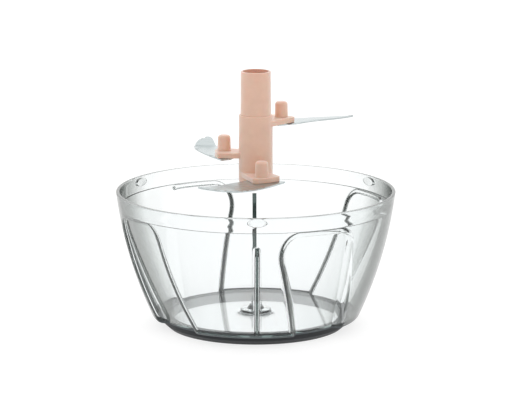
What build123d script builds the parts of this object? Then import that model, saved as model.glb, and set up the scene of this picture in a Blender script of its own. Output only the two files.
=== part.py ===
from build123d import *
import math
import os

# Manual food chopper: a clear bowl and the blade unit that stands on the pin in its floor.
# Millimetres, +Z up. The origin is the middle of the foot's lower face.
# Angles are measured about Z from the front (-Y) towards +X.
# The blade unit is drawn lifted off the pin, clear above the rim.

# ---------------------------------------------------------------- driving dimensions
# bowl
rim_radius = 100.0
bowl_height = 98.2
base_radius = 73.8          # outer wall's radius where it would meet the underside
wall_bulge = 3.9            # how far the outer wall swells past its straight chord
wall = 2.5
foot_height = 6.5           # gap under the floor, filled round the edge by the ring
floor_thickness = 3.0
base_fillet = 4.0
floor_fillet = 2.5
rim_fillet = 0.8

# lid band inside the rim
band_height = 11.2
ledge_width = 1.16          # step out from the wall's inner face to the band's
lug_count = 3
lug_width = 13.4
lug_height = 5.7
lug_depth = 2.2
lug_root = 0.9              # how far a lug runs into the band's wall
lug_drop = 3.8              # from the rim down to a lug's centre

# wall recesses, drawn on a plane that touches the rim and faces the middle of each recess
recess_count = 4
recess_angle = 32.4         # from a rib to the middle of the next recess
recess_gap = 3.4            # from the lid band down to the recesses
recess_top_depth = 2.6
recess_bulge = 2.0
recess_width = 150.0        # generous width of each drawn region beyond its edge
recess_lead_top = -49.1     # the leading edge's places at the top, middle and foot
recess_lead_middle = -40.2
recess_lead_foot = -37.1
recess_lead_corner = 16.0
recess_lead_slant = 0.8     # how fast the side leans inwards, per millimetre of depth
recess_trail_top = 22.0     # the trailing edge's
recess_trail_middle = 40.5
recess_trail_foot = 69.2
recess_trail_corner = 16.0
recess_trail_slant = 1.1

# ribs inside the wall
rib_width = 3.0
rib_depth = 3.5
rib_height = 76.5
rib_slope = 6.7

# floor boss and pin
plinth_radius = 11.0
plinth_height = 2.3
cone_radius = 6.2
cone_height = 3.6
cone_land = 0.8             # flat ring round the pin on top of the cone
pin_radius = 3.1
pin_length = 13.8
pin_free_length = 6.9
pin_round = 2.2

# non-slip ring
ring_outer_radius = 66.5
ring_width = 6.1
ring_slope = 3.5            # how far the ring's lower edge slopes in
ring_skirt = 3.2            # height of that slope
foot_rib_width = 1.8        # rib under the floor, in the middle of the ring's top
foot_rib_height = 3.6
ring_fit = 0.1
ring_inset = 0.7            # how far the ring stays inside the recesses at the foot

# how far the blade unit stands above its seat, and the gap it keeps when seated
lift = 91.8
seat_gap = 0.2

# spindle
spindle_height = 80.2
shoulder_height = 49.0
lower_radius = 12.1
upper_radius = 10.8
draft = 0.15                # each tube is this much narrower at its top than at its foot
shoulder_round = 0.6
foot_round = 1.8
lip_round = 0.5
socket_radius = 9.3
socket_depth = 16.0
hex_flats = 15.0
hex_depth = 12.0
core_radius = 6.5
web = 2.2                   # solid web over the bush
skirt_radius = 7.7          # clears the cone on the floor boss

# bearing bush inside the spindle
bush_radius = 5.6
bush_length = 12.0
bush_flange_radius = 7.4
bush_flange = 1.6
bush_bead_radius = 6.1
bush_bead_width = 1.2
bush_roof = 1.5
running_gap = 0.05
bead_gap = 0.1

# arms
arm_thickness = 3.8
arm_lead = -7.2
arm_lead_root = -11.9
arm_lead_reach = 31.5
arm_trail = 13.2
arm_trail_root = 4.5
arm_trail_reach = 23.9
arm_bow = 2.2               # swell of an arm's outer edge
arm_lead_round = 3.0
arm_trail_round = 1.8
arm_edge_round = 0.5
first_arm_angle = 9.6
arm_pitch = -120.0
lower_arm_height = 8.6      # heights of the arms' top faces above the spindle's foot
middle_arm_height = 21.6
upper_arm_height = 44.7

# blades and the posts that hold them
blade_thickness = 1.1
post_orbit = 24.0
post_radius = 4.75
post_top_radius = 4.45
post_height = 11.2
post_round = 2.2
shank_radius = 2.5
rivet_radius = 3.3
rivet_height = 1.0
rivet_round = 0.6
shank_fit = 0.05

# ---------------------------------------------------------------- derived places
floor_top = foot_height + floor_thickness
ledge = bowl_height - band_height
recess_top = ledge - recess_gap
plinth_top = floor_top + plinth_height
cone_top = plinth_top + cone_height
pin_top = cone_top + pin_free_length
recess_foot_radius = ring_outer_radius + ring_inset
ring_foot_radius = ring_outer_radius - ring_slope
ring_inner_radius = ring_outer_radius - ring_width
foot_rib_radius = ring_outer_radius - ring_width / 2
unit_foot = plinth_top + seat_gap + lift
unit_top = unit_foot + spindle_height
shoulder = unit_foot + shoulder_height
bush_foot = cone_top + seat_gap + lift
bush_top = bush_foot + bush_length
bead_foot = bush_top - 2 * bush_bead_width
past = 1.0                  # how far a cutter runs past the face it opens


# ---------------------------------------------------------------- helpers
def bulged_circle(low, high, bulge):
    """Centre and radius of the circle through two (radius, height) points."""
    step_r = high[0] - low[0]
    step_z = high[1] - low[1]
    chord = math.hypot(step_r, step_z)
    radius = chord * chord / (8 * bulge) + bulge / 2
    inward = radius - bulge
    centre_r = (low[0] + high[0]) / 2 - step_z / chord * inward
    centre_z = (low[1] + high[1]) / 2 + step_r / chord * inward
    return centre_r, centre_z, radius


def radius_at(circle, height):
    """Radius of the bulged profile at a height."""
    return circle[0] + math.sqrt(circle[2] ** 2 - (height - circle[1]) ** 2)


def profile_arc(circle, low, high, shift=0.0):
    """Arc of the bulged profile between two heights, moved in or out by a shift."""
    middle = (low + high) / 2
    ThreePointArc(
        (radius_at(circle, low) + shift, low),
        (radius_at(circle, middle) + shift, middle),
        (radius_at(circle, high) + shift, high),
    )


def facing_plane(angle):
    """Plane through the axis whose normal points outwards at an angle from the front."""
    turn = math.radians(angle)
    return Plane(
        origin=(0, 0, 0),
        x_dir=(math.cos(turn), math.sin(turn), 0),
        z_dir=(math.sin(turn), -math.cos(turn), 0),
    )


def radial_plane(angle):
    """Upright plane through the axis whose X runs outwards at an angle from the front."""
    turn = math.radians(angle)
    return Plane(
        origin=(0, 0, 0),
        x_dir=(math.sin(turn), -math.cos(turn), 0),
        z_dir=(-math.cos(turn), -math.sin(turn), 0),
    )


def arm_plane(angle, height):
    """Level plane turned with an arm, so that the arm's post lies along its -Y."""
    turn = math.radians(angle)
    return Plane(
        origin=(0, 0, height),
        x_dir=(math.cos(turn), math.sin(turn), 0),
        z_dir=(0, 0, 1),
    )


wall_circle = bulged_circle((base_radius, foot_height), (rim_radius, bowl_height), wall_bulge)
band_radius = radius_at(wall_circle, ledge) - wall + ledge_width
recess_high = (radius_at(wall_circle, recess_top) - recess_top_depth, recess_top)
recess_circle = bulged_circle((recess_foot_radius, foot_height), recess_high, recess_bulge)


def recess_side(edge, corner, slant, outward, grow):
    """Region behind one slanted side of a recess, grown by a margin square to that side.

    The edge is drawn from the recess's top to its foot; outward is the side's direction, -1 or 1.
    """
    plane = facing_plane(recess_angle).offset(rim_radius)
    heading = plane.z_dir * -1 + plane.x_dir * (-outward * slant)
    lean = math.hypot(1, slant)
    far = -outward * recess_width
    with BuildPart() as side:
        with BuildSketch(plane) as region:
            with BuildLine():
                ThreePointArc(*edge)
                Polyline(edge[2], (far, edge[2][1]), (far, edge[0][1]), edge[0])
            make_face()
            top_corners = region.vertices().group_by(Axis.Y)[-1].sort_by(Axis.X)
            fillet(top_corners[-1] if outward > 0 else top_corners[0], corner)
            if grow > 0:
                offset(amount=grow * lean)
        extrude(amount=rim_radius * lean / 2, dir=heading)
    return side.part


def recess_prism(grow):
    """One recess's cutter, grown by a margin, without the core inside it."""
    foot = -past
    middle = (recess_top + foot) / 2
    lead_edge = [
        (recess_lead_top, recess_top),
        (recess_lead_middle, middle),
        (recess_lead_foot, foot),
    ]
    trail_edge = [
        (recess_trail_top, recess_top),
        (recess_trail_middle, middle),
        (recess_trail_foot, foot),
    ]
    with BuildPart() as prism:
        add(recess_side(lead_edge, recess_lead_corner, recess_lead_slant, -1, grow))
        add(
            recess_side(trail_edge, recess_trail_corner, recess_trail_slant, 1, grow),
            mode=Mode.INTERSECT,
        )
        core_foot = -2 * past - grow
        core_top = recess_top + 2 * grow + past
        with BuildSketch(Plane.XZ):
            with BuildLine():
                profile_arc(recess_circle, core_foot, core_top, -grow)
                Polyline(
                    (radius_at(recess_circle, core_top) - grow, core_top),
                    (0, core_top),
                    (0, core_foot),
                    (radius_at(recess_circle, core_foot) - grow, core_foot),
                )
            make_face()
        revolve(axis=Axis.Z, mode=Mode.SUBTRACT)
    return prism.part


# ---------------------------------------------------------------- bowl
recess_cut = recess_prism(0.0)
recess_lining = recess_prism(wall)

with BuildPart() as bowl_space:
    with BuildSketch(Plane.XZ) as space_profile:
        with BuildLine():
            profile_arc(wall_circle, floor_top, ledge, -wall)
            Polyline(
                (radius_at(wall_circle, ledge) - wall, ledge),
                (band_radius, ledge),
                (band_radius, bowl_height + past),
                (0, bowl_height + past),
                (0, floor_top),
                (radius_at(wall_circle, floor_top) - wall, floor_top),
            )
        make_face()
        floor_corner = space_profile.vertices().group_by(Axis.Y)[0].sort_by(Axis.X)[-1]
        fillet(floor_corner, floor_fillet)
    revolve(axis=Axis.Z)
    with PolarLocations(0, recess_count):
        add(recess_lining, mode=Mode.SUBTRACT)

with BuildPart() as bowl:
    with BuildSketch(Plane.XZ) as bowl_profile:
        with BuildLine():
            profile_arc(wall_circle, foot_height, bowl_height)
            Polyline(
                (rim_radius, bowl_height),
                (0, bowl_height),
                (0, foot_height),
                (base_radius, foot_height),
            )
        make_face()
        outer_foot = bowl_profile.vertices().group_by(Axis.Y)[0].sort_by(Axis.X)[-1]
        fillet(outer_foot, base_fillet)
    revolve(axis=Axis.Z)
    with PolarLocations(0, recess_count):
        add(recess_cut, mode=Mode.SUBTRACT)
    add(bowl_space.part, mode=Mode.SUBTRACT)
    # inner ribs, each running down the wall into the floor
    rib_foot = floor_top - past
    rib_crest = rib_height - rib_slope
    rib_face = wall + rib_depth
    for rib in range(recess_count):
        with BuildSketch(radial_plane(rib * 360 / recess_count)):
            with BuildLine():
                profile_arc(wall_circle, rib_foot, rib_crest, -rib_face)
                Polyline(
                    (radius_at(wall_circle, rib_crest) - rib_face, rib_crest),
                    (radius_at(wall_circle, rib_height) - wall, rib_height),
                    (radius_at(wall_circle, rib_height) - wall / 2, rib_height),
                )
                profile_arc(wall_circle, rib_foot, rib_height, -wall / 2)
                Line(
                    (radius_at(wall_circle, rib_foot) - wall / 2, rib_foot),
                    (radius_at(wall_circle, rib_foot) - rib_face, rib_foot),
                )
            make_face()
        extrude(amount=rib_width / 2, both=True)
    # locking lugs for the lid
    for lug in range(lug_count):
        lug_plane = facing_plane(lug * 360 / lug_count).offset(band_radius - lug_depth)
        with BuildSketch(lug_plane):
            with Locations((0, bowl_height - lug_drop)):
                Ellipse(lug_width / 2, lug_height / 2)
        extrude(amount=lug_depth + lug_root)
    # boss on the floor, and the rib under it that the ring grips
    with BuildSketch(Plane.XZ):
        with BuildLine():
            Polyline(
                (0, floor_top - past),
                (plinth_radius, floor_top - past),
                (plinth_radius, plinth_top),
                (cone_radius, plinth_top),
                (pin_radius + cone_land, cone_top),
                (0, cone_top),
                (0, floor_top - past),
            )
        make_face()
        with Locations((foot_rib_radius, foot_height - foot_rib_height)):
            Rectangle(foot_rib_width, foot_rib_height + past, align=(Align.CENTER, Align.MIN))
    revolve(axis=Axis.Z)
    with BuildSketch(Plane.XY.offset(pin_top - pin_length)):
        Circle(pin_radius)
    extrude(amount=pin_length, mode=Mode.SUBTRACT)
    rim_edges = bowl.edges().filter_by(GeomType.CIRCLE).group_by(Axis.Z)[-1]
    fillet(rim_edges, radius=rim_fillet)
bowl.part.label = "bowl"

with BuildPart() as center_pin:
    with BuildSketch(Plane.XY.offset(pin_top - pin_length)):
        Circle(pin_radius)
    extrude(amount=pin_length)
    fillet(center_pin.edges().group_by(Axis.Z)[-1], radius=pin_round)
center_pin.part.label = "center_pin"

with BuildPart() as non_slip_ring:
    with BuildSketch(Plane.XZ):
        with BuildLine():
            Polyline(
                (ring_inner_radius, 0),
                (ring_foot_radius, 0),
                (ring_outer_radius, ring_skirt),
                (ring_outer_radius, foot_height),
                (ring_inner_radius, foot_height),
                (ring_inner_radius, 0),
            )
        make_face()
        groove_depth = foot_rib_height + ring_fit
        with Locations((foot_rib_radius, foot_height - groove_depth)):
            Rectangle(
                foot_rib_width + 2 * ring_fit,
                groove_depth + past,
                align=(Align.CENTER, Align.MIN),
                mode=Mode.SUBTRACT,
            )
    revolve(axis=Axis.Z)
non_slip_ring.part.label = "non_slip_ring"

# ---------------------------------------------------------------- blade unit
# each arm: name, angle, height of its top face above the spindle's foot
arms = [
    ("lower", first_arm_angle, lower_arm_height),
    ("middle", first_arm_angle + arm_pitch, middle_arm_height),
    ("upper", first_arm_angle - arm_pitch, upper_arm_height),
]
foot_corner = (lower_radius + draft / 2, unit_foot)
shoulder_corner = (lower_radius - draft / 2, shoulder)
lip_corner = (upper_radius - draft / 2, unit_top)
skirt_top = bush_foot + bush_flange + bead_gap
bush_room_top = bush_top + seat_gap
socket_foot = unit_top - socket_depth
hex_foot = socket_foot - hex_depth


def post_centre(angle):
    """Middle of an arm's post in the XY plane."""
    turn = math.radians(angle)
    return post_orbit * math.sin(turn), -post_orbit * math.cos(turn)


def arm_plate(angle, top):
    """One arm: a plate with a bowed outer edge, rounded corners and soft edges."""
    with BuildPart() as plate:
        with BuildSketch(arm_plane(angle, top)) as arm_outline:
            with BuildLine():
                Polyline(
                    (arm_trail, -arm_trail_reach),
                    (arm_trail_root, 0),
                    (arm_lead_root, 0),
                    (arm_lead, -arm_lead_reach),
                )
                SagittaArc((arm_lead, -arm_lead_reach), (arm_trail, -arm_trail_reach), -arm_bow)
            make_face()
            fillet(arm_outline.vertices().sort_by(Axis.Y)[0], arm_lead_round)
            fillet(arm_outline.vertices().sort_by(Axis.X)[-1], arm_trail_round)
        extrude(amount=-arm_thickness)
        fillet(plate.faces().filter_by(Axis.Z).edges(), arm_edge_round)
    return plate.part


with BuildPart() as spindle:
    # stepped tube
    with BuildSketch(Plane.XZ) as tube_profile:
        with BuildLine():
            Polyline(
                (0, unit_foot),
                foot_corner,
                shoulder_corner,
                (upper_radius + draft / 2, shoulder),
                lip_corner,
                (0, unit_top),
                (0, unit_foot),
            )
        make_face()
        for corner, size in [
            (foot_corner, foot_round),
            (shoulder_corner, shoulder_round),
            (lip_corner, lip_round),
        ]:
            fillet(tube_profile.vertices().sort_by_distance(corner)[0], size)
    revolve(axis=Axis.Z)
    for name, angle, height in arms:
        add(arm_plate(angle, unit_foot + height))
    # room for the floor boss, the bush and its bead, and the core with its drive socket
    with BuildSketch(Plane.XZ):
        with BuildLine():
            Polyline(
                (0, unit_foot - past),
                (skirt_radius, unit_foot - past),
                (skirt_radius, skirt_top),
                (bush_radius + running_gap, skirt_top),
                (bush_radius + running_gap, bead_foot - bead_gap),
                (bush_bead_radius + bead_gap, bead_foot - bead_gap),
                (bush_bead_radius + bead_gap, bead_foot + bush_bead_width + bead_gap),
                (bush_radius + running_gap, bead_foot + bush_bead_width + bead_gap),
                (bush_radius + running_gap, bush_room_top),
                (0, bush_room_top),
                (0, unit_foot - past),
            )
        make_face()
        core_foot = bush_room_top + web
        with Locations((0, core_foot)):
            Rectangle(core_radius, hex_foot - core_foot + past, align=(Align.MIN, Align.MIN))
        with Locations((0, socket_foot)):
            Rectangle(socket_radius, socket_depth + past, align=(Align.MIN, Align.MIN))
    revolve(axis=Axis.Z, mode=Mode.SUBTRACT)
    with BuildSketch(Plane.XY.offset(hex_foot)):
        RegularPolygon(hex_flats / 2, 6, major_radius=False)
    extrude(amount=hex_depth + past, mode=Mode.SUBTRACT)
    # holes for the posts
    for name, angle, height in arms:
        with BuildSketch(Plane.XY.offset(unit_foot + height)):
            with Locations(post_centre(angle)):
                Circle(shank_radius + shank_fit)
        extrude(amount=-arm_thickness, mode=Mode.SUBTRACT)
spindle.part.label = "spindle"

with BuildPart() as pivot_bush:
    with BuildSketch(Plane.XZ):
        with BuildLine():
            Polyline(
                (pin_radius + running_gap, bush_foot),
                (bush_flange_radius, bush_foot),
                (bush_flange_radius, bush_foot + bush_flange),
                (bush_radius, bush_foot + bush_flange),
                (bush_radius, bead_foot),
                (bush_bead_radius, bead_foot),
                (bush_radius, bead_foot + bush_bead_width),
                (bush_radius, bush_top),
                (0, bush_top),
                (0, bush_top - bush_roof),
                (pin_radius + running_gap, bush_top - bush_roof),
                (pin_radius + running_gap, bush_foot),
            )
        make_face()
    revolve(axis=Axis.Z)
pivot_bush.part.label = "pivot_bush"

# Blade outlines in the frame of their own arm, with the post along -Y.
# cutting edge: from the heel to the tip; back edge: from the tip to the root; root: round the post.
# bend: direction and distance of the bend line, and how steeply the blade rises past it.
blade_shapes = {
    "lower": {
        "cutting": [
            (16.5, -25.5),
            (-1.5, -44.0),
            (-16.0, -52.5),
            (-29.0, -54.0),
            (-41.0, -49.5),
            (-48.5, -41.5),
        ],
        "back": [(-48.5, -41.5), (-31.0, -31.0), (-14.5, -20.5)],
        "root": [(-14.5, -20.5), (-8.0, -15.5), (9.0, -15.5), (16.5, -25.5)],
        "bend": (-66.5, 42.7, 5.0),
    },
    "middle": {
        "cutting": [
            (15.5, -20.5),
            (4.0, -33.0),
            (-9.0, -45.5),
            (-21.0, -54.5),
            (-33.0, -58.0),
            (-40.0, -54.0),
        ],
        "back": [(-40.0, -54.0), (-41.2, -49.5), (-37.5, -45.5), (-29.0, -38.5), (-12.0, -24.0)],
        "root": [(-12.0, -24.0), (-8.0, -15.5), (9.0, -15.5), (15.5, -20.5)],
        "bend": (-70.0, 48.0, 30.0),
    },
    "upper": {
        "cutting": [(-8.5, -21.5), (-11.0, -33.0), (-14.5, -43.0), (-20.5, -52.5), (-27.0, -69.0)],
        "back": [(-27.0, -69.0), (-14.0, -58.5), (-2.5, -49.0), (7.0, -38.0), (11.0, -26.0)],
        "root": [(11.0, -26.0), (8.0, -15.5), (-7.0, -15.5), (-8.5, -21.5)],
        "bend": (-40.0, 30.0, 4.7),
    },
}
blades = []
posts = []
for name, angle, height in arms:
    shape = blade_shapes[name]
    bend_angle, bend_distance, bend_rise = shape["bend"]
    blade_top = unit_foot + height - arm_thickness
    blade_foot = blade_top - blade_thickness
    with BuildPart() as blade:
        with BuildSketch(arm_plane(angle, unit_foot)):
            with BuildLine():
                Spline(*shape["cutting"])
                Spline(*shape["back"])
                Polyline(*shape["root"])
            make_face()
        extrude(amount=unit_top - unit_foot)
        # the bent sheet that the outline is cut from
        sheet_reach = rim_radius
        climb = (sheet_reach - bend_distance) * math.tan(math.radians(bend_rise))
        with BuildSketch(radial_plane(angle + bend_angle)):
            with BuildLine():
                Polyline(
                    (-sheet_reach, blade_foot),
                    (bend_distance, blade_foot),
                    (sheet_reach, blade_foot + climb),
                    (sheet_reach, blade_top + climb),
                    (bend_distance, blade_top),
                    (-sheet_reach, blade_top),
                    (-sheet_reach, blade_foot),
                )
            make_face()
        extrude(amount=sheet_reach, both=True, mode=Mode.INTERSECT)
        with BuildSketch(Plane.XY.offset(blade_foot - past)):
            with Locations(post_centre(angle)):
                Circle(shank_radius + shank_fit)
        extrude(amount=blade_thickness + 2 * past, mode=Mode.SUBTRACT)
    blade.part.label = "blade_" + name
    blades.append(blade)

    arm_top = unit_foot + height
    post_x, post_y = post_centre(angle)
    with BuildPart() as post:
        with BuildSketch(Plane(origin=(post_x, post_y, 0), x_dir=(1, 0, 0), z_dir=(0, -1, 0))):
            with BuildLine():
                Polyline(
                    (0, arm_top + post_height),
                    (post_top_radius, arm_top + post_height),
                    (post_radius, arm_top),
                    (shank_radius, arm_top),
                    (shank_radius, blade_foot),
                    (rivet_radius, blade_foot),
                    (rivet_radius, blade_foot - rivet_height),
                    (0, blade_foot - rivet_height),
                    (0, arm_top + post_height),
                )
            make_face()
        revolve(axis=Axis((post_x, post_y, 0), (0, 0, 1)))
        fillet(post.edges().group_by(Axis.Z)[-1], post_round)
        fillet(post.edges().group_by(Axis.Z)[0], rivet_round)
    post.part.label = "post_" + name
    posts.append(post)

os.makedirs("parts", exist_ok=True)
for piece in [bowl, center_pin, non_slip_ring, spindle, pivot_bush] + blades + posts:
    export_step(piece.part, "parts/" + piece.part.label + ".step")
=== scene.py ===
import math

import bmesh
import bpy
import numpy as np
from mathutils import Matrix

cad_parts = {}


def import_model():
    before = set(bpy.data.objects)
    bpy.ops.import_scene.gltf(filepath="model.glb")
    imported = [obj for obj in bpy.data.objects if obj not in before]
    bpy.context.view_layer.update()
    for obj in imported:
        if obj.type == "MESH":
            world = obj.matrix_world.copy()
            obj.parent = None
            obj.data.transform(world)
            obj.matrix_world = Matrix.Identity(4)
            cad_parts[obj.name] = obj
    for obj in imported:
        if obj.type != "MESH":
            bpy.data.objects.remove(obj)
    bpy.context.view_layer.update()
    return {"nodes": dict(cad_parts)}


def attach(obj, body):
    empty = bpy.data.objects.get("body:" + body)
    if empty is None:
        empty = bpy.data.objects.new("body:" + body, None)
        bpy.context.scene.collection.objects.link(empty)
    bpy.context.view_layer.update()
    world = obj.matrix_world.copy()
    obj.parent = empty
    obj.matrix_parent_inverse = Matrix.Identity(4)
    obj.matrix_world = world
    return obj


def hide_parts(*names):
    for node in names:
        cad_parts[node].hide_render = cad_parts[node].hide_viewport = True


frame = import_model()

# ---------------------------------------------------------------- camera
CAMERA_DISTANCE = 2.1885
CAMERA_HEIGHT = 0.5411
CAMERA_PITCH = math.radians(11.63)
CAMERA_AZIMUTH = math.radians(0.6)
FOCAL_PIXELS = 3123.0
PHOTO_WIDTH = 512
PHOTO_HEIGHT = 400
AXIS_COLUMN = 255.75
SENSOR = 36.0


def make_camera():
    data = bpy.data.cameras.new("camera")
    data.sensor_width = SENSOR
    data.lens = FOCAL_PIXELS * SENSOR / PHOTO_WIDTH
    data.shift_x = (PHOTO_WIDTH / 2 - AXIS_COLUMN) / PHOTO_WIDTH
    camera = bpy.data.objects.new("camera", data)
    bpy.context.scene.collection.objects.link(camera)
    camera.location = (
        -CAMERA_DISTANCE * math.sin(CAMERA_AZIMUTH),
        -CAMERA_DISTANCE * math.cos(CAMERA_AZIMUTH),
        CAMERA_HEIGHT,
    )
    camera.rotation_euler = (math.pi / 2 - CAMERA_PITCH, 0, -CAMERA_AZIMUTH)
    bpy.context.scene.camera = camera


make_camera()

# ---------------------------------------------------------------- clear bowl
# The CAD bowl's sizes in millimetres, but with a rounder corner between the floor and the wall
# and with rounded edges. The mesh has one row of points per step of the bowl's section, and its
# columns follow the edges of the recesses, ribs and lugs.
MM = 0.001
RECESS_COUNT = 4
QUARTER = 180                  # columns from one rib to the next
COLUMNS = RECESS_COUNT * QUARTER
BOWL_HEIGHT = 98.2
RIM_RADIUS = 100.0
RIM_FILLET = 0.8
BASE_RADIUS = 73.8
BASE_PLANE = 6.5
BASE_FILLET = 4.0
WALL = 2.5
WALL_BULGE = 3.9
LEDGE = 87.0
LEDGE_ROUND = 0.5
BAND_RADIUS = 97.2
FOOT = 6.53
FLOOR_TOP = 9.5
FLOOR_FILLET = 4.5
RING_INNER = 60.4
RING_OUTER = 66.4
BOND_AND_SHADE_TOP = 8.0                 # height up to which the underside is dark: the ring bonded to the bowl, and painted shade past the ring
FOOT_RIB_INNER = 62.55
FOOT_RIB_OUTER = 64.35
FOOT_RIB_END = 2.9
RECESS_ANGLE = math.radians(32.4)
RECESS_TOP = 83.6
RECESS_TOP_DEPTH = 2.6
RECESS_FOOT = -1.0
RECESS_FOOT_RADIUS = 67.2
RECESS_BULGE = 2.0
RECESS_CORNER = 16.0
RECESS_PLANE = 100.0
LEAD_EDGE = (-37.1, -40.2, -49.1)
LEAD_SLANT = 0.8
TRAIL_EDGE = (69.2, 40.5, 22.0)
TRAIL_SLANT = 1.1
EDGE_ROUND = 1.5
TOP_EDGE_ROUND = 0.8
RIB_DEPTH = 3.5
RIB_HEIGHT = 76.5
RIB_CREST = 69.8
LUG_COUNT = 3
LUG_WIDTH = 13.4
LUG_HEIGHT = 5.7
LUG_DEPTH = 2.2
LUG_PLACE = 94.4
LUG_TIP = 80.0                 # degrees up from a lug's middle to its first row of full depth
PLINTH_RADIUS = 11.0
PLINTH_TOP = 11.8
CONE_TOP = 15.4
HOLE = 0.6                     # radius of the last row round each end of the section
BOWL_SHARP = math.radians(38)  # edges above this angle stay sharp

# the places of the bowl's materials on its mesh
CLEAR_SLOT = 0
RIB_SLOT = 1
BOND_AND_SHADE_SLOT = 2

# how far out from a rib's middle each column lies, and how much of the rib's depth it has
RIB_COLUMNS = [
    (0.0, 1.0), (0.5, 0.975), (0.95, 0.9), (1.25, 0.79),
    (1.43, 0.65), (1.5, 0.5), (1.505, 0.06), (1.8, 0.0),
]
# the same for a lug, as shares of its half width
LUG_COLUMNS = [
    (0.0, 1.0), (0.25, 1.0), (0.48, 1.0), (0.68, 1.0), (0.82, 1.0),
    (0.92, 1.0), (0.97, 0.95), (0.995, 0.8), (1.0, 0.12), (1.03, 0.0),
]
LUG_RELAX = 24                 # columns from a lug's middle to where they are evenly spaced again
LEAD_COLUMN = 20               # first column of a recess's leading edge
TRAIL_COLUMN = 124


def bulged_circle(low, high, bulge):
    """Centre and radius of the circle through two (radius, height) points."""
    step_r = high[0] - low[0]
    step_z = high[1] - low[1]
    chord = math.hypot(step_r, step_z)
    radius = chord * chord / (8 * bulge) + bulge / 2
    inward = radius - bulge
    return (
        (low[0] + high[0]) / 2 - step_z / chord * inward,
        (low[1] + high[1]) / 2 + step_r / chord * inward,
        radius,
    )


def radius_at(circle, height):
    return circle[0] + math.sqrt(circle[2] ** 2 - (height - circle[1]) ** 2)


def slope_at(circle, height):
    return (circle[1] - height) / math.sqrt(circle[2] ** 2 - (height - circle[1]) ** 2)


WALL_CIRCLE = bulged_circle((BASE_RADIUS, BASE_PLANE), (RIM_RADIUS, BOWL_HEIGHT), WALL_BULGE)
RECESS_CIRCLE = bulged_circle(
    (RECESS_FOOT_RADIUS, BASE_PLANE),
    (radius_at(WALL_CIRCLE, RECESS_TOP) - RECESS_TOP_DEPTH, RECESS_TOP),
    RECESS_BULGE,
)


def edge_place(edge, height):
    """Place of a recess's side on its drawing plane, before its corner is rounded."""
    half = (RECESS_TOP - RECESS_FOOT) / 2
    step = (height - RECESS_FOOT - half) / half
    swell = (edge[0] + edge[2]) / 2 - edge[1]
    return edge[1] + (edge[2] - edge[0]) / 2 * step + swell * step * step


def side_place(edge, outward, grow, height):
    """The same with the rounded top corner, grown by a margin square to the side."""
    centre_height = RECESS_TOP - RECESS_CORNER
    slope = (edge_place(edge, centre_height + 1) - edge_place(edge, centre_height - 1)) / 2
    lean = math.hypot(1, slope)
    tangent = centre_height - outward * slope * (RECESS_CORNER + grow) / lean
    if height <= tangent:
        return edge_place(edge, height) + outward * grow * lean
    reach = RECESS_CORNER + grow
    centre = (
        edge_place(edge, tangent)
        + outward * grow * lean
        - outward * math.sqrt(reach**2 - (tangent - centre_height) ** 2)
    )
    return centre + outward * math.sqrt(max(reach**2 - (height - centre_height) ** 2, 0.0))


def side_angle(edge, slant, outward, grow, height, radius):
    """Angle about the axis at which a recess's side meets a radius."""
    lean = -outward * slant
    across = side_place(edge, outward, grow * math.hypot(1, slant), height) + RECESS_PLANE * lean
    return RECESS_ANGLE + math.asin(across / (radius * math.hypot(1, lean))) - math.atan(lean)


def eased(start, corner, end, t):
    """A number on the quadratic curve that leaves start and reaches end by way of corner."""
    return (1 - t) ** 2 * start + 2 * t * (1 - t) * corner + t * t * end


def rounded_step(first, second, margin):
    """Nine (angle, share) points from the wall over a recess's edge and down its side."""
    start = (first - margin, 0.0)
    middle = ((first + second) / 2, 0.5)
    end = (second + margin, 1.0)
    points = []
    for low, corner, high in [(start, (first, 0.0), middle), (middle, (second, 1.0), end)]:
        for step in range(5):
            t = step / 4
            points.append(tuple(eased(a, b, c, t) for a, b, c in zip(low, corner, high)))
    return points[:5] + points[6:]


def ring_of(angles, radii, height):
    """One whole row of points from the part of it between two ribs."""
    turns = [turn * math.pi / 2 for turn in range(RECESS_COUNT)]
    whole_angles = np.concatenate([angles[:QUARTER] + turn for turn in turns])
    whole_radii = np.tile(radii[:QUARTER], RECESS_COUNT)
    return whole_angles, whole_radii, np.full(COLUMNS, height)


def even_row(radius, height):
    angles = np.arange(COLUMNS) * 2 * math.pi / COLUMNS
    return angles, np.full(COLUMNS, float(radius)), np.full(COLUMNS, float(height))


def mixed_row(row, radius, height, share):
    """A round row whose columns lie part of the way from another row's to even spacing."""
    even = even_row(radius, height)
    return row[0] * (1 - share) + even[0] * share, even[1], even[2]


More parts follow.
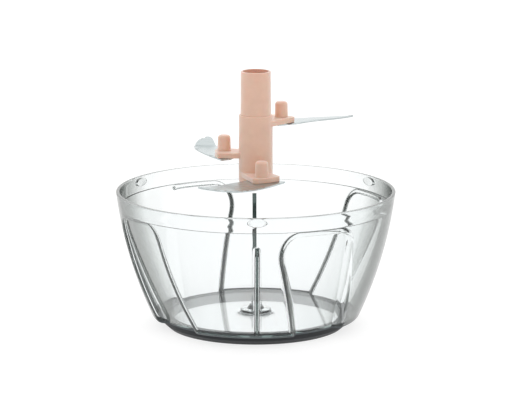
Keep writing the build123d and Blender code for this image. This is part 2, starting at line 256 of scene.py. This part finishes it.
def wall_row(height, outer, inner, grow, top_share, rib_depth):
    """One row of the wall, with its recesses and ribs."""
    limit = min(height, RECESS_TOP + grow * math.hypot(1, LEAD_SLANT) - 0.001)
    margin = EDGE_ROUND / outer
    index = []
    angle = []
    share = []
    for column, (offset, part) in enumerate(RIB_COLUMNS):
        radius = outer - rib_depth * part
        index.append(column)
        angle.append(math.asin(offset / radius))
        share.append(0.0)
    lead = rounded_step(
        side_angle(LEAD_EDGE, LEAD_SLANT, -1, grow, limit, outer),
        side_angle(LEAD_EDGE, LEAD_SLANT, -1, grow, limit, inner),
        margin,
    )
    trail = rounded_step(
        -side_angle(TRAIL_EDGE, TRAIL_SLANT, 1, grow, limit, outer),
        -side_angle(TRAIL_EDGE, TRAIL_SLANT, 1, grow, limit, inner),
        margin,
    )
    for step, (place, part) in enumerate(lead):
        index.append(LEAD_COLUMN + step)
        angle.append(place)
        share.append(part)
    for step, (place, part) in enumerate(reversed(trail)):
        index.append(TRAIL_COLUMN + step)
        angle.append(-place)
        share.append(part)
    last = len(RIB_COLUMNS) - 1
    for column in range(last, -1, -1):
        index.append(QUARTER - column)
        angle.append(math.pi / 2 - angle[column])
        share.append(0.0)
    every = np.arange(QUARTER + 1)
    angles = np.interp(every, index, angle)
    shares = np.interp(every, index, share) * top_share
    rib_share = np.zeros(QUARTER + 1)
    for column, rib_column in enumerate(RIB_COLUMNS):
        rib_share[column] = rib_column[1]
        rib_share[QUARTER - column] = rib_column[1]
    radii = outer - shares * (outer - inner) - rib_share * rib_depth
    return ring_of(angles, radii, height)


def step_rows(low, edge, high):
    """(height, share) pairs over the rounded top edge of a recess, from below to above."""
    pairs = []
    for t in (1.0, 0.75, 0.5, 0.25, 0.0):
        pairs.append((eased(edge, edge, low, t), eased(0.5, 1.0, 1.0, t)))
    for t in (0.75, 0.5, 0.25, 0.0):
        pairs.append((eased(high, edge, edge, t), eased(0.0, 0.0, 0.5, t)))
    return pairs


def corner_heights(reach):
    centre = RECESS_TOP - RECESS_CORNER
    return [centre + reach * math.sin(math.radians(7.5 * step)) for step in range(10)]


def lug_row(height, half_width, depth_share):
    """One row of the lid band, with its lugs."""
    angles, radii, heights = even_row(BAND_RADIUS, height)
    step = 2 * math.pi / COLUMNS
    for lug in range(LUG_COUNT):
        middle = lug * COLUMNS // LUG_COUNT
        centre = middle * step
        edge = 0.0
        for column, (offset, part) in enumerate(LUG_COLUMNS):
            edge = math.asin(offset * half_width / BAND_RADIUS) + 0.00002 * column
            depth = (BAND_RADIUS - (BAND_RADIUS - LUG_DEPTH) / math.cos(edge)) * part * depth_share
            for side in (-1, 1):
                place = (middle + side * column) % COLUMNS
                angles[place] = centre + side * edge
                radii[place] = BAND_RADIUS - depth
                if lug == 0 and side < 0 and column > 0:
                    angles[place] += 2 * math.pi
        last = len(LUG_COLUMNS) - 1
        for column in range(last + 1, LUG_RELAX):
            share = (column - last) / (LUG_RELAX - last)
            away = edge * (1 - share) + LUG_RELAX * step * share
            for side in (-1, 1):
                place = (middle + side * column) % COLUMNS
                angles[place] = centre + side * away
                if lug == 0 and side < 0:
                    angles[place] += 2 * math.pi
    return angles, radii, heights


def arc_rows(centre_r, centre_z, radius, first, last, count):
    """(radius, height) places along an arc of the section, between two angles in degrees."""
    places = []
    for step in range(count + 1):
        turn = math.radians(first + (last - first) * step / count)
        places.append((centre_r + radius * math.cos(turn), centre_z + radius * math.sin(turn)))
    return places


def corner_slope(height):
    """Slope of the wall near a height and the length of its normal."""
    slope = slope_at(WALL_CIRCLE, height)
    return slope, math.hypot(1, slope)


def outer_row(height, share):
    """One row of the wall's outside."""
    return wall_row(
        height, radius_at(WALL_CIRCLE, height), radius_at(RECESS_CIRCLE, height), 0.0, share, 0.0
    )


def bowl_rows():
    """All rows, from the underside's middle over the rim and down to the top of the cone."""
    rows = []
    # underside, from the middle outwards, with the rib that the ring grips
    for radius in (HOLE, 4.0, 12.0, 25.0, 40.0, 55.0, RING_INNER):
        rows.append(even_row(radius, FOOT))
    foot_rib = [
        (FOOT_RIB_INNER, FOOT),
        (FOOT_RIB_INNER, FOOT_RIB_END),
        (FOOT_RIB_OUTER, FOOT_RIB_END),
        (FOOT_RIB_OUTER, FOOT),
        (RING_OUTER, FOOT),
    ]
    for radius, height in foot_rib:
        rows.append(even_row(radius, height))
    # rounded edge of the base
    slope, lean = corner_slope(9.0)
    centre_z = FOOT + BASE_FILLET
    tangent_z = centre_z - BASE_FILLET * slope / lean
    centre_r = radius_at(WALL_CIRCLE, tangent_z) - BASE_FILLET / lean
    last = -math.degrees(math.atan(slope))
    base = arc_rows(centre_r, centre_z, BASE_FILLET, -90, last, 9)
    for radius, height in base:
        rows.append(wall_row(height, radius, radius_at(RECESS_CIRCLE, height), 0.0, 1.0, 0.0))
    # outside of the wall
    heights = list(np.linspace(tangent_z + 2.0, RECESS_TOP - RECESS_CORNER - 3, 20))
    heights += corner_heights(RECESS_CORNER)
    for height in heights:
        rows.append(outer_row(height, 1.0))
    top_edge = step_rows(RECESS_TOP - TOP_EDGE_ROUND, RECESS_TOP, RECESS_TOP + TOP_EDGE_ROUND)
    for height, share in top_edge:
        rows.append(outer_row(height, share))
    edge_row = rows[-1]
    for height, share in [(85.6, 0.15), (87.4, 0.4), (89.6, 0.7), (92.0, 1.0), (94.8, 1.0)]:
        rows.append(mixed_row(edge_row, radius_at(WALL_CIRCLE, height), height, share))
    # rim
    rim_z = BOWL_HEIGHT - RIM_FILLET
    rim_r = radius_at(WALL_CIRCLE, rim_z) - RIM_FILLET
    for radius, height in arc_rows(rim_r, rim_z, RIM_FILLET, 0, 90, 6):
        rows.append(even_row(radius, height))
    for radius, height in arc_rows(BAND_RADIUS + RIM_FILLET, rim_z, RIM_FILLET, 90, 180, 6):
        rows.append(even_row(radius, height))
    # lid band with its lugs, from the rim down
    tip_width = LUG_WIDTH / 2 * math.cos(math.radians(LUG_TIP))
    tip_height = LUG_HEIGHT / 2 * math.sin(math.radians(LUG_TIP))
    rows.append(lug_row(LUG_PLACE + tip_height + 0.05, tip_width, 0.0))
    for step in range(17):
        turn = math.radians(LUG_TIP - step * LUG_TIP / 8)
        lug_height = LUG_PLACE + LUG_HEIGHT / 2 * math.sin(turn)
        rows.append(lug_row(lug_height, LUG_WIDTH / 2 * math.cos(turn), 1.0))
    rows.append(lug_row(LUG_PLACE - tip_height - 0.05, tip_width, 0.0))
    for height in (90.6, 89.3, 88.0):
        rows.append(even_row(BAND_RADIUS, height))
    ledge_r = BAND_RADIUS - LEDGE_ROUND
    for radius, height in arc_rows(ledge_r, LEDGE + LEDGE_ROUND, LEDGE_ROUND, 0, -90, 4):
        rows.append(even_row(radius, height))
    # inside of the wall with its ribs, from the ledge down
    inner_top = RECESS_TOP + WALL * math.hypot(1, LEAD_SLANT)
    ledge_inner = radius_at(WALL_CIRCLE, LEDGE) - WALL
    top = wall_row(LEDGE - 0.06, ledge_inner, 93.0, WALL, 0.0, 0.0)
    rows.append(mixed_row(top, ledge_inner + 0.5, LEDGE, 0.5))
    inside = list(reversed(step_rows(inner_top - TOP_EDGE_ROUND, inner_top, LEDGE - 0.04)))
    slope, lean = corner_slope(11.0)
    floor_z = FLOOR_TOP + FLOOR_FILLET
    tangent_z = floor_z - FLOOR_FILLET * slope / lean
    floor_r = radius_at(WALL_CIRCLE, tangent_z) - WALL - FLOOR_FILLET / lean
    full_depth = corner_heights(RECESS_CORNER + inner_top - RECESS_TOP) + [RIB_HEIGHT, RIB_CREST]
    full_depth += list(np.linspace(RECESS_TOP - RECESS_CORNER - 3, tangent_z + 0.8, 20))
    inside += [(height, 1.0) for height in full_depth]
    inside.sort(key=lambda pair: -pair[0])
    for height, share in inside:
        crest = (RIB_HEIGHT - height) / (RIB_HEIGHT - RIB_CREST)
        rib = RIB_DEPTH * min(max(crest, 0.0), 1.0)
        outer = radius_at(WALL_CIRCLE, height) - WALL
        inner = radius_at(RECESS_CIRCLE, height) - WALL
        rows.append(wall_row(height, outer, inner, WALL, share, rib))
    last = -math.degrees(math.atan(slope))
    for radius, height in arc_rows(floor_r, floor_z, FLOOR_FILLET, last, -90, 6):
        rib_face = radius_at(WALL_CIRCLE, height) - WALL - RIB_DEPTH
        inner = radius_at(RECESS_CIRCLE, height) - WALL
        rows.append(wall_row(height, radius, inner, WALL, 1.0, max(radius - rib_face, 0.0)))
    # floor, boss and cone
    floor_row = rows[-1]
    evened = [(63.0, 0.25), (58.0, 0.5), (50.0, 0.8), (40.0, 1.0), (28.0, 1.0), (16.0, 1.0)]
    for radius, share in evened:
        rows.append(mixed_row(floor_row, radius, FLOOR_TOP, share))
    boss = arc_rows(PLINTH_RADIUS + 0.5, FLOOR_TOP + 0.5, 0.5, -90, -180, 3)
    boss += arc_rows(PLINTH_RADIUS - 0.4, PLINTH_TOP - 0.4, 0.4, 0, 90, 4)
    boss += [(6.5, PLINTH_TOP), (6.25, PLINTH_TOP + 0.04), (6.1, PLINTH_TOP + 0.18)]
    boss += arc_rows(3.75, CONE_TOP - 0.3, 0.3, 33, 90, 3)
    boss += [(2.9, CONE_TOP), (HOLE, CONE_TOP)]
    for radius, height in boss:
        rows.append(even_row(radius, height))
    return rows


def on_rib(row, column, heights):
    """Whether a face lies on the nose of one of the inner ribs."""
    place = column % QUARTER
    near = place < len(RIB_COLUMNS) - 2 or place >= QUARTER - len(RIB_COLUMNS) + 2
    inside = FLOOR_TOP + 0.1 < heights[row + 1] and heights[row] < RIB_HEIGHT + 0.1
    return near and inside


def face_slot(row, column, levels, reaches, highest):
    """Which of the bowl's materials a face has: its clear one, the ribs' with painted shade, or the
    dark underside face, which is the ring bonded to the bowl and painted shade past the ring.
    """
    if row < highest:
        # dark underside face: the ring's face where the ring lies, painted shade past its outer edge up
        # the base's rounded edge
        bonded_and_shaded = RING_INNER <= reaches[row] and levels[row + 1] <= BOND_AND_SHADE_TOP
        return BOND_AND_SHADE_SLOT if bonded_and_shaded else CLEAR_SLOT
    if row > highest and on_rib(row, column, levels):
        return RIB_SLOT
    return CLEAR_SLOT


def bowl_mesh():
    rows = bowl_rows()
    angles = np.stack([row[0] for row in rows])
    radii = np.stack([row[1] for row in rows])
    heights = np.stack([row[2] for row in rows])
    places = np.stack([radii * np.sin(angles), -radii * np.cos(angles), heights], axis=2)
    ends = np.array([[0, 0, FOOT], [0, 0, CONE_TOP]])
    points = np.concatenate([places.reshape(-1, 3), ends]) * MM
    first = np.arange(COLUMNS)
    after = (first + 1) % COLUMNS
    faces = []
    for row in range(len(rows) - 1):
        low = row * COLUMNS
        high = low + COLUMNS
        quads = [low + first, low + after, high + after, high + first]
        faces += np.stack(quads, axis=1).tolist()
    bottom = len(rows) * COLUMNS
    top = bottom + 1
    last = (len(rows) - 1) * COLUMNS
    faces += [[bottom, int(b), int(a)] for a, b in zip(first, after)]
    faces += [[top, int(last + a), int(last + b)] for a, b in zip(first, after)]
    mesh = bpy.data.meshes.new("clear_bowl")
    mesh.from_pydata(points.tolist(), [], faces)
    mesh.update()
    mesh.polygons.foreach_set("use_smooth", [True] * len(mesh.polygons))
    levels = [float(row[2][0]) for row in rows]
    reaches = [float(row[1][0]) for row in rows]
    highest = levels.index(max(levels))
    slots = []
    for row in range(len(rows) - 1):
        for column in range(COLUMNS):
            slots.append(face_slot(row, column, levels, reaches, highest))
    slots += [CLEAR_SLOT] * (len(mesh.polygons) - len(slots))
    mesh.polygons.foreach_set("material_index", slots)
    mesh.set_sharp_from_angle(angle=BOWL_SHARP)
    bowl = bpy.data.objects.new("clear_bowl", mesh)
    bpy.context.scene.collection.objects.link(bowl)
    return bowl


clear_bowl = bowl_mesh()
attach(clear_bowl, "bowl_body")
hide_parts("bowl")

# ---------------------------------------------------------------- ground blades
# The cutting edge of each blade, in the frame of its own arm with the post along -Y.
ARM_ANGLES = {"blade_lower": 9.6, "blade_middle": -110.4, "blade_upper": 129.6}
CUTTING_EDGES = {
    "blade_lower": [
        (16.5, -25.5), (-1.5, -44.0), (-16.0, -52.5),
        (-29.0, -54.0), (-41.0, -49.5), (-48.5, -41.5),
    ],
    "blade_middle": [
        (15.5, -20.5), (4.0, -33.0), (-9.0, -45.5),
        (-21.0, -54.5), (-33.0, -58.0), (-40.0, -54.0),
    ],
    "blade_upper": [
        (-8.5, -21.5), (-11.0, -33.0), (-14.5, -43.0), (-20.5, -52.5), (-27.0, -69.0),
    ],
}
GROUND_WIDTH = 2.2
GROUND_DEPTH = 0.75
EDGE_REACH = 0.6               # how near the cutting edge a corner is when it is ground
TOP_FACE = 0.7                 # least upward part of the normal of a face on a blade's top
BLADE_SHARP = math.radians(8)


def smooth_line(points):
    """Points along a smooth curve through the given ones."""
    line = []
    padded = np.array([points[0], *points, points[-1]])
    for p, q, r, s in zip(padded, padded[1:], padded[2:], padded[3:]):
        for step in range(12):
            t = step / 12
            square = (2 * p - 5 * q + 4 * r - s) * t * t
            cube = (3 * q - p - 3 * r + s) * t**3
            line.append(0.5 * (2 * q + (r - p) * t + square + cube))
    line.append(padded[-1])
    return np.array(line)


def ground_blade(name):
    """A copy of a blade with its cutting edge ground down from above."""
    node = frame["nodes"][name]
    work = bmesh.new()
    work.from_mesh(node.data)
    work.transform(node.matrix_world)
    bmesh.ops.remove_doubles(work, verts=work.verts, dist=0.00001)
    work.normal_update()
    top = [face for face in work.faces if face.normal.z > TOP_FACE]
    rim = {
        edge
        for face in top
        for edge in face.edges
        if any(other.normal.z <= TOP_FACE for other in edge.link_faces)
    }
    corners = {corner for edge in rim for corner in edge.verts}
    bmesh.ops.inset_region(
        work, faces=top, thickness=GROUND_WIDTH * MM, use_boundary=True, use_even_offset=False
    )
    turn = math.radians(ARM_ANGLES[name])
    line = smooth_line(CUTTING_EDGES[name]) * MM
    for corner in corners:
        x = corner.co.x * math.cos(turn) + corner.co.y * math.sin(turn)
        y = corner.co.y * math.cos(turn) - corner.co.x * math.sin(turn)
        if np.hypot(line[:, 0] - x, line[:, 1] - y).min() < EDGE_REACH * MM:
            corner.co.z -= GROUND_DEPTH * MM
    mesh = bpy.data.meshes.new("ground_" + name)
    work.to_mesh(mesh)
    work.free()
    mesh.polygons.foreach_set("use_smooth", [True] * len(mesh.polygons))
    mesh.set_sharp_from_angle(angle=BLADE_SHARP)
    blade = bpy.data.objects.new("ground_" + name, mesh)
    bpy.context.scene.collection.objects.link(blade)
    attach(blade, "blade_unit")
    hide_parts(name)
    return blade


blades = [ground_blade(name) for name in ARM_ANGLES]

# ---------------------------------------------------------------- materials
STUDIO_LIGHT = 1.25
SIDE_LIGHT = 0.3
FRONT_LIGHT = 0.5
FLOOR_LIGHT = 0.78             # makes the floor glow a little, so that its shadows stay faint
FLOOR_RADIUS = 30
BOUNCES = 24


class Material:
    """A Principled material and short ways to add the nodes that feed it."""

    def __init__(self, name):
        self.block = bpy.data.materials.new(name)
        self.block.use_nodes = True
        self.tree = self.block.node_tree
        self.shader = self.tree.nodes["Principled BSDF"]
        self.place = self.tree.nodes.new("ShaderNodeTexCoord").outputs["Object"]

    def set(self, **values):
        for socket, value in values.items():
            self.shader.inputs[socket.replace("_", " ")].default_value = value

    def link(self, output, socket):
        self.tree.links.new(output, self.shader.inputs[socket])

    def noise(self, scale, stretch=(1, 1, 1), detail=2.0):
        mapping = self.tree.nodes.new("ShaderNodeMapping")
        mapping.inputs["Scale"].default_value = stretch
        texture = self.tree.nodes.new("ShaderNodeTexNoise")
        texture.inputs["Scale"].default_value = scale
        texture.inputs["Detail"].default_value = detail
        self.tree.links.new(self.place, mapping.inputs["Vector"])
        self.tree.links.new(mapping.outputs["Vector"], texture.inputs["Vector"])
        return texture.outputs["Fac"]

    def ramp(self, value, *stops):
        node = self.tree.nodes.new("ShaderNodeValToRGB")
        elements = node.color_ramp.elements
        for element, (position, color) in zip(elements, (stops[0], stops[-1])):
            element.position = position
            element.color = (*color, 1)
        for position, color in stops[1:-1]:
            elements.new(position).color = (*color, 1)
        self.tree.links.new(value, node.inputs["Fac"])
        return node.outputs["Color"]

    def spread(self, value, low, high):
        """A noise between two values."""
        node = self.tree.nodes.new("ShaderNodeMapRange")
        node.inputs["From Min"].default_value = 0.3
        node.inputs["From Max"].default_value = 0.7
        node.inputs["To Min"].default_value = low
        node.inputs["To Max"].default_value = high
        self.tree.links.new(value, node.inputs["Value"])
        return node.outputs["Result"]

    def upright(self):
        """1 on an upright surface or high up, falling to 0 on the level floor of the bowl."""
        place = self.tree.nodes.new("ShaderNodeTexCoord")
        axes = self.tree.nodes.new("ShaderNodeSeparateXYZ")
        size = self.tree.nodes.new("ShaderNodeMath")
        size.operation = "ABSOLUTE"
        fall = self.tree.nodes.new("ShaderNodeMapRange")
        fall.inputs["From Min"].default_value = 0.97
        fall.inputs["From Max"].default_value = 0.75
        self.tree.links.new(place.outputs["Normal"], axes.inputs["Vector"])
        self.tree.links.new(axes.outputs["Z"], size.inputs[0])
        self.tree.links.new(size.outputs["Value"], fall.inputs["Value"])
        spot = self.tree.nodes.new("ShaderNodeSeparateXYZ")
        high = self.tree.nodes.new("ShaderNodeMapRange")
        high.inputs["From Min"].default_value = 0.02
        high.inputs["From Max"].default_value = 0.03
        most = self.tree.nodes.new("ShaderNodeMath")
        most.operation = "MAXIMUM"
        self.tree.links.new(self.place, spot.inputs["Vector"])
        self.tree.links.new(spot.outputs["Z"], high.inputs["Value"])
        self.tree.links.new(fall.outputs["Result"], most.inputs[0])
        self.tree.links.new(high.outputs["Result"], most.inputs[1])
        return most.outputs["Value"]

    def bump(self, value, strength, distance):
        node = self.tree.nodes.new("ShaderNodeBump")
        node.inputs["Strength"].default_value = strength
        node.inputs["Distance"].default_value = distance
        self.tree.links.new(value, node.inputs["Height"])
        self.link(node.outputs["Normal"], "Normal")


def clear_plastic(name, depth):
    """Clear plastic with painted shade: steep faces seen edge-on get a darker colour and less
    transmission, standing in for dark surroundings seen in them; the depth colour multiplies all of it
    as further painted shade.
    """
    paint = Material(name)
    paint.set(IOR=1.5)
    facing = paint.tree.nodes.new("ShaderNodeLayerWeight")
    facing.inputs["Blend"].default_value = 0.5
    upright = paint.upright()
    steep = paint.tree.nodes.new("ShaderNodeMath")
    steep.operation = "MULTIPLY"
    paint.tree.links.new(facing.outputs["Facing"], steep.inputs[0])
    paint.tree.links.new(upright, steep.inputs[1])
    # painted shade: the colour falls to near black on steep faces seen edge-on
    painted_edge_shade = paint.ramp(
        steep.outputs["Value"],
        (0.0, (0.975, 0.985, 0.988)),
        (0.25, (0.96, 0.972, 0.975)),
        (0.42, (0.82, 0.845, 0.84)),
        (0.58, (0.45, 0.475, 0.46)),
        (0.78, (0.15, 0.165, 0.155)),
        (1.0, (0.07, 0.078, 0.073)),
    )
    # painted shade: steep faces seen edge-on let less light through, so their dark colour shows
    clear = paint.ramp(
        steep.outputs["Value"],
        (0.0, (1.0, 1.0, 1.0)),
        (0.42, (1.0, 1.0, 1.0)),
        (0.56, (0.75, 0.75, 0.75)),
        (0.75, (0.4, 0.4, 0.4)),
        (1.0, (0.15, 0.15, 0.15)),
    )
    paint.link(clear, "Transmission Weight")
    # painted shade: the depth colour multiplies the whole colour; it is white on the bowl and dark grey
    # on the ribs
    painted_shade_mix = paint.tree.nodes.new("ShaderNodeMix")
    painted_shade_mix.data_type = "RGBA"
    painted_shade_mix.blend_type = "MULTIPLY"
    painted_shade_mix.inputs["Factor"].default_value = 1.0
    painted_shade_mix.inputs[7].default_value = (*depth, 1)
    paint.tree.links.new(painted_edge_shade, painted_shade_mix.inputs[6])
    paint.link(painted_shade_mix.outputs[2], "Base Color")
    paint.link(paint.spread(paint.noise(90), 0.0, 0.012), "Roughness")
    absorption = paint.tree.nodes.new("ShaderNodeVolumeAbsorption")
    absorption.inputs["Color"].default_value = (0.62, 0.70, 0.69, 1)
    absorption.inputs["Density"].default_value = 26.0
    output = paint.tree.nodes["Material Output"]
    paint.tree.links.new(absorption.outputs["Volume"], output.inputs["Volume"])
    return paint.block


def peach_plastic():
    paint = Material("peach_plastic")
    grain = paint.noise(160, detail=4.0)
    paint.link(paint.ramp(grain, (0.3, (0.77, 0.50, 0.375)), (0.7, (0.81, 0.535, 0.405))), "Base Color")
    paint.link(paint.spread(paint.noise(420), 0.3, 0.4), "Roughness")
    paint.set(IOR=1.5, Subsurface_Weight=0.25, Subsurface_Scale=0.004)
    paint.set(Sheen_Weight=0.7, Sheen_Roughness=0.45)
    paint.bump(paint.noise(900, detail=3.0), 0.08, 0.0002)
    return paint.block


def turned_steel():
    paint = Material("turned_steel")
    rings = paint.noise(240, stretch=(0.05, 0.05, 14))
    paint.link(paint.ramp(rings, (0.3, (0.36, 0.37, 0.38)), (0.7, (0.5, 0.51, 0.52))), "Base Color")
    paint.link(paint.spread(rings, 0.2, 0.34), "Roughness")
    paint.set(Metallic=1.0)
    paint.bump(rings, 0.15, 0.0001)
    return paint.block


def blade_steel():
    paint = Material("blade_steel")
    lines = paint.noise(300, stretch=(0.06, 3, 3), detail=3.0)
    paint.link(paint.ramp(lines, (0.3, (0.50, 0.545, 0.55)), (0.7, (0.565, 0.61, 0.615))), "Base Color")
    paint.link(paint.spread(lines, 0.24, 0.36), "Roughness")
    paint.set(Metallic=1.0)
    paint.bump(lines, 0.06, 0.0001)
    return paint.block


def white_plastic():
    paint = Material("white_plastic")
    grain = paint.noise(200, detail=3.0)
    paint.link(paint.ramp(grain, (0.3, (0.68, 0.665, 0.62)), (0.7, (0.74, 0.73, 0.69))), "Base Color")
    paint.link(paint.spread(grain, 0.4, 0.5), "Roughness")
    paint.bump(paint.noise(800), 0.06, 0.0001)
    return paint.block


def grey_rubber(name, low, high):
    paint = Material(name)
    grain = paint.noise(700, detail=5.0)
    paint.link(paint.ramp(grain, (0.3, low), (0.7, high)), "Base Color")
    paint.link(paint.spread(grain, 0.45, 0.62), "Roughness")
    paint.bump(grain, 0.25, 0.0002)
    return paint.block


def floor_paint():
    paint = Material("floor_paint")
    grain = paint.noise(3, detail=2.0)
    paint.link(paint.ramp(grain, (0.3, (0.27, 0.27, 0.27)), (0.7, (0.29, 0.29, 0.29))), "Base Color")
    paint.set(Roughness=0.9, Emission_Color=(1, 1, 1, 1), Emission_Strength=FLOOR_LIGHT)
    return paint.block


MATERIALS = {
    "bowl": clear_plastic("clear_plastic", (1.0, 1.0, 1.0)),
    # the ribs' plastic is multiplied by a dark grey: painted shade for the dark surroundings seen
    # through the ribs
    "rib": clear_plastic("clear_plastic_rib_painted_shade", (0.17, 0.19, 0.18)),
    "center_pin": turned_steel(),
    "non_slip_ring": grey_rubber("grey_rubber", (0.007, 0.009, 0.011), (0.014, 0.017, 0.02)),
    # dark grey underside: the ring seen through the floor, and painted shade beyond the ring's outer
    # edge
    "bond_and_shade": grey_rubber("bonded_face_and_painted_shade", (0.05, 0.062, 0.068), (0.075, 0.09, 0.096)),
    "spindle": peach_plastic(),
    "pivot_bush": white_plastic(),
    "blade": blade_steel(),
}

for key in ("bowl", "rib", "bond_and_shade"):
    clear_bowl.data.materials.append(MATERIALS[key])
for blade in blades:
    blade.data.materials.clear()
    blade.data.materials.append(MATERIALS["blade"])
for name, node in frame["nodes"].items():
    if name == "bowl" or name in ARM_ANGLES:
        continue
    key = name
    if name.startswith("post"):
        key = "spindle"
    node.data.materials.clear()
    node.data.materials.append(MATERIALS[key])
    for polygon in node.data.polygons:
        polygon.use_smooth = True

# ---------------------------------------------------------------- studio


def floor():
    bpy.ops.mesh.primitive_circle_add(
        vertices=128, radius=FLOOR_RADIUS, fill_type="NGON", location=(0, 0, 0)
    )
    stage = bpy.context.object
    stage.name = "floor"
    stage.data.materials.append(floor_paint())


def shade(tree, value, *stops):
    """A grey ramp over a value that runs from -1 to 1."""
    span = tree.nodes.new("ShaderNodeMapRange")
    span.inputs["From Min"].default_value = -1.0
    ramp = tree.nodes.new("ShaderNodeValToRGB")
    elements = ramp.color_ramp.elements
    for element, (position, grey) in zip(elements, (stops[0], stops[-1])):
        element.position = (position + 1) / 2
        element.color = (grey, grey, grey, 1)
    for position, grey in stops[1:-1]:
        elements.new((position + 1) / 2).color = (grey, grey, grey, 1)
    tree.links.new(value, span.inputs["Value"])
    tree.links.new(span.outputs["Result"], ramp.inputs["Fac"])
    return ramp.outputs["Color"]


def world():
    """A white backdrop and a bright top, with a dimmer room at the sides and the front."""
    background = bpy.data.worlds.new("studio")
    background.use_nodes = True
    tree = background.node_tree
    place = tree.nodes.new("ShaderNodeTexCoord")
    axes = tree.nodes.new("ShaderNodeSeparateXYZ")
    tree.links.new(place.outputs["Generated"], axes.inputs["Vector"])
    room = shade(tree, axes.outputs["Y"], (-1.0, FRONT_LIGHT), (0.1, SIDE_LIGHT), (0.5, 1.0))
    top = shade(tree, axes.outputs["Z"], (0.35, 0.0), (0.7, 1.0))
    lighter = tree.nodes.new("ShaderNodeMix")
    lighter.data_type = "RGBA"
    lighter.blend_type = "LIGHTEN"
    lighter.inputs["Factor"].default_value = 1.0
    tree.links.new(room, lighter.inputs[6])
    tree.links.new(top, lighter.inputs[7])
    tree.links.new(lighter.outputs[2], tree.nodes["Background"].inputs["Color"])
    tree.nodes["Background"].inputs["Strength"].default_value = STUDIO_LIGHT
    bpy.context.scene.world = background


floor()
world()
scene = bpy.context.scene
scene.view_settings.view_transform = "Standard"
scene.cycles.max_bounces = BOUNCES
scene.cycles.transmission_bounces = BOUNCES
